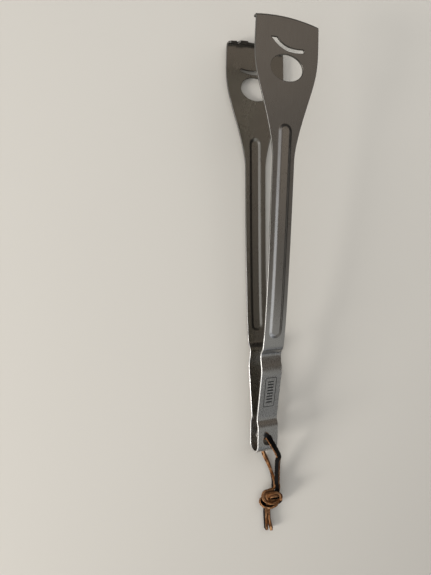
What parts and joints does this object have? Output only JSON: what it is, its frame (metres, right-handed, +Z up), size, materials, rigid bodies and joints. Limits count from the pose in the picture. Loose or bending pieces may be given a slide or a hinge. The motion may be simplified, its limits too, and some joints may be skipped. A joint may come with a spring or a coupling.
{
  "type": "spring loaded kitchen tongs",
  "caption": "Long one-strip steel tongs: flared heads with an oval window and leaf slot, toothed inward lips, pressed ribs, springy loop handle end, leather hanging lace.",
  "frame": {"origin": "centre of the steel body's bounding box in plan, on the surface that the tongs lie on", "axes": "+Y from the spring loop towards the heads, +X across the strip, +Z up from the surface; the lower arm's rib lies on it"},
  "size_m": [0.0708, 0.5537, 0.0716],
  "materials": {
    "steel": "lengthwise brushed stainless steel",
    "lace_leather": "black dyed face with raw tan cut edges"
  },
  "bodies": {
    "lower_side": {"rear_arm": "steel"},
    "loop_end": {"spring_loop": "steel", "lace_upper_leg": "lace_leather", "lace_lower_leg": "lace_leather", "lace_knot": "lace_leather", "lace_left_end": "lace_leather", "lace_right_end": "lace_leather"},
    "upper_side": {"front_arm": "steel"}
  },
  "joints": [
    {"name": "lower_neck_flex", "type": "hinge", "parent": "lower_side", "child": "loop_end", "pos_m": [0, -0.18554, 0.01395], "axis": [-1, 0, 0], "range_deg": [-2, 3.5], "stiffness_Nm_per_rad": 18, "springref_deg": -1.57},
    {"name": "upper_neck_flex", "type": "hinge", "parent": "loop_end", "child": "upper_side", "pos_m": [0, -0.18608, 0.02654], "axis": [-1, 0, 0], "range_deg": [-2, 3.5], "stiffness_Nm_per_rad": 18, "springref_deg": -1.57}
  ],
  "couplings": [
    {"joint": "lower_neck_flex", "follows": "upper_neck_flex", "ratio": 1}
  ]
}
